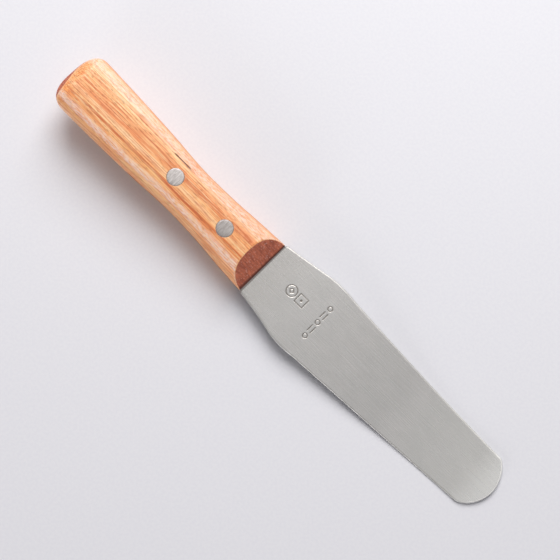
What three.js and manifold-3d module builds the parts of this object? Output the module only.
// A palette knife: a springy steel blade whose tang is let into a saw cut in a one-piece
// wooden handle, and held there by two flush two-part rivets. Millimetres, +Z up.
//
// Each piece is shaped in the knife's own axes: X runs from the handle to the tip, with
// zero at the handle's front end, Y is across, and Z is square to the flat of the blade,
// with zero half way through the tang. The whole knife is then laid on the table.

import * as THREE from 'three';
import Module from 'manifold-3d';
import { mergeVertices } from 'three/addons/utils/BufferGeometryUtils.js';

// ---------------------------------------------------------------- driving dimensions

const handleLength = 101.7;
const handleHalfThickness = 7.7;
// The handle's plan: distance ahead of its front end, and half width.
const handlePlan = [
  [-101.7, 12.15],
  [-78, 11.65],
  [-58, 10.9],
  [-47, 10.15],
  [-38, 9.85],
  [-25, 10.25],
  [-12, 11.25],
  [0, 11.9],
];
// How square the cross-section is: 2 is an ellipse, and more is a flatter top and side. The
// handle is rounder towards its front.
const frontSectionPower = 2.45;
const backSectionPower = 3.5;
const sectionChangeLength = 45;
const buttRounding = 7.4;
const buttPower = 2.6;
const facetDepth = 8;
const lipHeight = 1.1;

// The handle is shaped and set by hand: it is a little bowed, it isn't quite in line with
// the blade, and its front facets and its butt are a little out of square.
const handleBow = 0.6;
const handleOffset = 0.1;
const handleTurn = THREE.MathUtils.degToRad(0.5);
const facetTurn = THREE.MathUtils.degToRad(1);
const buttTurn = THREE.MathUtils.degToRad(2);

const kerfDepth = 61;
const kerfGap = 0.1;

const tangLength = 58;
const tangThickness = 1.1;
const tangInset = 0.15;
const heelGap = 0.5;
const bladeReach = 118.1;
const tipMiddle = 0.8;
const tipThickness = 0.7;
const upturnLength = 50;
const upturnAngle = THREE.MathUtils.degToRad(8.5);

// The blade's two long edges, ground by eye: half widths at the heel, shoulder and tip, how
// far the flare and the taper bulge or hollow, and how far the shoulder and the tip run.
const bladeEdges = {
  left: {
    side: 1,
    heel: 12.45,
    flareBulge: 1.45,
    shoulder: 16.1,
    shoulderX: 25,
    shoulderRun: 8.5,
    taperBulge: -0.8,
    tip: 12.15,
    tipRun: 6.2,
  },
  right: {
    side: -1,
    heel: 12.15,
    flareBulge: 1.15,
    shoulder: 15.9,
    shoulderX: 24.5,
    shoulderRun: 6,
    taperBulge: -0.1,
    tip: 10.85,
    tipRun: 8.5,
  },
};

const rivetPlaces = { front: [-19.8, -0.45], rear: [-46, -0.05] };
const rivetHeadRadius = 3.3;
const rivetHeadDepth = 2.2;
const rivetTubeRadius = 2.3;
const rivetBoreRadius = 1.5;
const rivetGap = 0.05;

const handleSides = 48;
const rivetSides = 24;
const farOutside = 20;

// ------------------------------------------------------------------------- materials

const handleWood = new THREE.MeshStandardMaterial({ color: 0xe2a672, roughness: 0.55 });
const bladeSteel = new THREE.MeshStandardMaterial({ color: 0xb5b1ae, roughness: 0.32, metalness: 1 });

function rivetSteel() {
  return new THREE.MeshStandardMaterial({ color: 0xb9b3af, roughness: 0.4, metalness: 1 });
}

// ----------------------------------------------------------------------------- solids

const wasm = await Module();
wasm.setup();

function solidOf(geometry) {
  const bare = geometry.clone();
  bare.deleteAttribute('normal');
  bare.deleteAttribute('uv');
  const welded = mergeVertices(bare, 1e-5);
  const vertProperties = new Float32Array(welded.attributes.position.array);
  const triVerts = new Uint32Array(welded.index.array);
  return new wasm.Manifold(new wasm.Mesh({ numProp: 3, vertProperties, triVerts }));
}

function geometryOf(solid) {
  const { vertProperties, triVerts } = solid.getMesh();
  const geometry = new THREE.BufferGeometry();
  geometry.setAttribute('position', new THREE.BufferAttribute(vertProperties, 3));
  geometry.setIndex(new THREE.BufferAttribute(triVerts, 1));
  geometry.computeVertexNormals();
  return geometry;
}

function reshape(geometry, place) {
  const position = geometry.attributes.position;
  const point = new THREE.Vector3();
  for (let i = 0; i < position.count; i += 1) {
    point.fromBufferAttribute(position, i);
    place(point);
    position.setXYZ(i, point.x, point.y, point.z);
  }
  return geometry;
}

// As many values as count says, evenly spaced, starting at from and stopping short of to.
function steps(from, to, count) {
  return Array.from({ length: count }, (_, i) => from + ((to - from) * i) / count);
}

// The height of a curve at x, from points along it in order of x.
function heightAt(points, x) {
  const found = points.findIndex((point) => point.x > x);
  const next = found === -1 ? points.length - 1 : Math.max(1, found);
  const [before, after] = [points[next - 1], points[next]];
  return THREE.MathUtils.mapLinear(x, before.x, after.x, before.y, after.y);
}

// ----------------------------------------------------------------------------- handle

const planCurve = new THREE.SplineCurve(handlePlan.map(([x, y]) => new THREE.Vector2(x, y)));
const planPoints = planCurve.getPoints(200);

function handleMiddle(x) {
  return handleBow * (x / handleLength) ** 2;
}

function sectionPower(x) {
  const share = THREE.MathUtils.smoothstep(-x, 0, sectionChangeLength);
  return THREE.MathUtils.lerp(frontSectionPower, backSectionPower, share);
}

// Turns a shape made in the handle's own axes into the knife's.
function setInHandle(geometry) {
  return geometry.rotateZ(-handleTurn).translate(0, handleOffset, 0);
}

function rounded(value, power) {
  return Math.sign(value) * Math.abs(value) ** (2 / power);
}

// Half of the handle's long section, from the middle of its front end to the middle of the
// butt: the share of the full cross-section reached at each distance.
function handleProfile() {
  const butt = steps(0, Math.PI / 2, 10).map((angle) => new THREE.Vector2(
    rounded(Math.sin(angle), buttPower),
    -handleLength + buttRounding * (1 - rounded(Math.cos(angle), buttPower)),
  ));
  const side = steps(buttRounding - handleLength, 0, 30).map((x) => new THREE.Vector2(1, x));
  const front = [new THREE.Vector2(1, 0), new THREE.Vector2(0, 0)];
  return [...butt, ...side, ...front].reverse();
}

// The uncut handle: every cross-section is a rounded rectangle, as wide as the plan says.
function handleBlank() {
  const turned = new THREE.LatheGeometry(handleProfile(), handleSides);
  const shaped = reshape(turned, (point) => {
    const share = Math.hypot(point.x, point.z);
    const angle = Math.atan2(point.z, point.x);
    const along = point.y;
    const power = sectionPower(along);
    const across = share * heightAt(planPoints, along) * rounded(Math.cos(angle), power);
    const up = share * handleHalfThickness * rounded(Math.sin(angle), power);
    const lean = across * Math.tan(buttTurn) * (along / handleLength) ** 2;
    point.set(along + lean, handleMiddle(along) + across, up);
  });
  return solidOf(setInHandle(shaped));
}

// What the sloping front facet takes off the handle, above the blade or below it.
function facetCutter(side) {
  const slope = (handleHalfThickness - lipHeight) / facetDepth;
  const top = handleHalfThickness + farOutside;
  const outline = new THREE.Shape();
  outline.moveTo(farOutside, side * (lipHeight - farOutside * slope));
  outline.lineTo((lipHeight - top) / slope, side * top);
  outline.lineTo(farOutside, side * top);
  const prism = new THREE.ExtrudeGeometry(outline, { depth: 2 * farOutside, bevelEnabled: false });
  prism.translate(0, 0, -farOutside);
  prism.rotateX(Math.PI / 2);
  prism.rotateZ(-facetTurn);
  return solidOf(setInHandle(prism));
}

function kerfCutter() {
  const length = kerfDepth + farOutside;
  const slab = new THREE.BoxGeometry(length, 2 * farOutside, tangThickness + 2 * kerfGap);
  slab.translate(farOutside - length / 2, 0, 0);
  return solidOf(setInHandle(slab));
}

// A turned solid that stands square to the blade at a rivet's place in the handle. Its
// profile, of radius and height, runs from the bottom of the axis to the top.
function turnedAt([x, y], profile) {
  const points = profile.map(([radius, height]) => new THREE.Vector2(radius, height));
  const turned = new THREE.LatheGeometry(points, rivetSides);
  turned.rotateX(Math.PI / 2);
  turned.translate(x, y, 0);
  return solidOf(setInHandle(turned));
}

// A through hole with a flat-bottomed counterbore at each end.
function rivetHole(place) {
  const head = rivetHeadRadius + rivetGap;
  const shank = rivetTubeRadius + rivetGap;
  const seat = handleHalfThickness - rivetHeadDepth;
  return turnedAt(place, [
    [0, -farOutside],
    [head, -farOutside],
    [head, -seat],
    [shank, -seat],
    [shank, seat],
    [head, seat],
    [head, farOutside],
    [0, farOutside],
  ]);
}

function handleSolid(blank) {
  let handle = blank.subtract(facetCutter(1)).subtract(facetCutter(-1)).subtract(kerfCutter());
  for (const place of Object.values(rivetPlaces)) {
    handle = handle.subtract(rivetHole(place));
  }
  return handle;
}

// ------------------------------------------------------------------------------ blade

// One long edge of the blade, as points in order of x: a flare that steepens away from the
// heel, a rounded shoulder, a long taper, and a turn into the round tip.
function edgePoints(shape) {
  const { side, heel, shoulder, shoulderX, shoulderRun, tip } = shape;
  const taperStart = [shoulderX + shoulderRun, shoulder - 0.45];
  const taperEnd = [bladeReach - shape.tipRun, tip];
  const taperPull = taperStart.map((value, i) => (value + taperEnd[i]) / 2 + i * shape.taperBulge);
  const end = side * tipMiddle;
  const edge = new THREE.Path();
  edge.moveTo(heelGap, heel);
  edge.quadraticCurveTo(10, heel + shape.flareBulge, shoulderX - 7, shoulder - 0.8);
  edge.bezierCurveTo(shoulderX - 3.5, shoulder, shoulderX + 1, shoulder + 0.35, ...taperStart);
  edge.quadraticCurveTo(...taperPull, ...taperEnd);
  edge.bezierCurveTo(bladeReach - 4.6, tip - 0.1, bladeReach, end + 5.9, bladeReach, end);
  return edge.getPoints(32).map((point) => new THREE.Vector2(point.x, side * point.y));
}

// The distances along the blade of its cross-sections, which are closest near the tip.
function bladeStations() {
  const tipLength = bladeEdges.right.tipRun;
  const tang = steps(-tangLength, 0, 20);
  const body = steps(heelGap, bladeReach - tipLength, 64);
  const tip = steps(1, 0, 18).map((share) => bladeReach - tipLength * share ** 2);
  return [...tang, heelGap - 0.05, ...body, ...tip];
}

// The two edges of the tang at x, just inside the sides of the handle.
function tangEdges(x) {
  const middle = handleOffset + handleMiddle(x) - x * Math.tan(handleTurn);
  const halfWidth = heightAt(planPoints, x) - tangInset;
  return [middle - halfWidth, middle + halfWidth];
}

// The last stretch of the blade curls up along an arc.
const upturnRadius = upturnLength / upturnAngle;
const upturnStart = bladeReach - upturnLength;

function curlUp(point) {
  const turn = Math.max(0, point.x - upturnStart) / upturnRadius;
  if (turn > 0) {
    const radius = upturnRadius - point.z;
    point.x = upturnStart + radius * Math.sin(turn);
    point.z = upturnRadius - radius * Math.cos(turn);
  }
}

function bladeThickness(x) {
  return THREE.MathUtils.mapLinear(Math.max(0, x), 0, bladeReach, tangThickness, tipThickness);
}

function bladeSheet() {
  const left = edgePoints(bladeEdges.left);
  const right = edgePoints(bladeEdges.right);
  const stations = bladeStations();
  const last = stations.length - 1;
  const sheet = new THREE.BoxGeometry(last, 2, 2, last, 2, 1);
  return reshape(sheet, (point) => {
    const x = stations[Math.round(point.x + last / 2)];
    const edges = x < heelGap ? tangEdges(x) : [heightAt(right, x), heightAt(left, x)];
    const across = THREE.MathUtils.mapLinear(point.y, -1, 1, ...edges);
    point.set(x, across, (point.z * bladeThickness(x)) / 2);
    curlUp(point);
  });
}

function bladeSolid() {
  const radius = rivetTubeRadius + rivetGap;
  let blade = solidOf(bladeSheet());
  for (const place of Object.values(rivetPlaces)) {
    blade = blade.subtract(turnedAt(place, [
      [0, -farOutside],
      [radius, -farOutside],
      [radius, farOutside],
      [0, farOutside],
    ]));
  }
  return blade;
}

// ----------------------------------------------------------------------------- rivets

const rivetSeat = handleHalfThickness - rivetHeadDepth + rivetGap;

// The upper half: a head, and a tube that reaches almost to the lower head. The heads of
// both halves are ground flush with the handle.
function rivetTube(place, blank) {
  const foot = 1 - rivetSeat;
  const boreTop = rivetSeat - 0.5;
  return turnedAt(place, [
    [0, boreTop],
    [rivetBoreRadius, boreTop],
    [rivetBoreRadius, foot],
    [rivetTubeRadius, foot],
    [rivetTubeRadius, rivetSeat],
    [rivetHeadRadius, rivetSeat],
    [rivetHeadRadius, farOutside],
    [0, farOutside],
  ]).intersect(blank);
}

// The lower half: a head, and a pin with a tapered nose that presses into the tube.
function rivetPin(place, blank) {
  const radius = rivetBoreRadius - rivetGap;
  const nose = rivetSeat - 1.5;
  return turnedAt(place, [
    [0, -farOutside],
    [rivetHeadRadius, -farOutside],
    [rivetHeadRadius, -rivetSeat],
    [radius, -rivetSeat],
    [radius, nose - 1],
    [radius - 0.5, nose],
    [0, nose],
  ]).intersect(blank);
}

// ------------------------------------------------------------------------- the knife

function piece(name, solid, itsMaterial) {
  const mesh = new THREE.Mesh(geometryOf(solid), itsMaterial);
  mesh.name = name;
  return mesh;
}

function knifeInItsOwnAxes() {
  const blank = handleBlank();
  const knife = new THREE.Group();
  knife.add(piece('handle', handleSolid(blank), handleWood));
  knife.add(piece('blade', bladeSolid(), bladeSteel));
  for (const [end, place] of Object.entries(rivetPlaces)) {
    knife.add(piece(`${end}_rivet_tube`, rivetTube(place, blank), rivetSteel()));
    knife.add(piece(`${end}_rivet_pin`, rivetPin(place, blank), rivetSteel()));
  }
  return knife;
}

// The knife lies on two places: the back edge of the handle's lower facet, and the round
// underside of the blade's upturn, which meets the table as a tangent.
function restAngle() {
  const underside = upturnRadius + bladeThickness(upturnStart) / 2;
  const fromEdgeToCentre = new THREE.Vector2(
    upturnStart + facetDepth,
    upturnRadius + handleHalfThickness,
  );
  return fromEdgeToCentre.angle() - Math.asin(underside / fromEdgeToCentre.length());
}

function laidDown(knife) {
  knife.rotation.y = restAngle();
  const laid = new THREE.Group();
  laid.add(knife);
  const box = new THREE.Box3().setFromObject(laid, true);
  const centre = box.getCenter(new THREE.Vector3());
  knife.position.set(-centre.x, -centre.y, -box.min.z);
  return laid;
}

export default laidDown(knifeInItsOwnAxes());
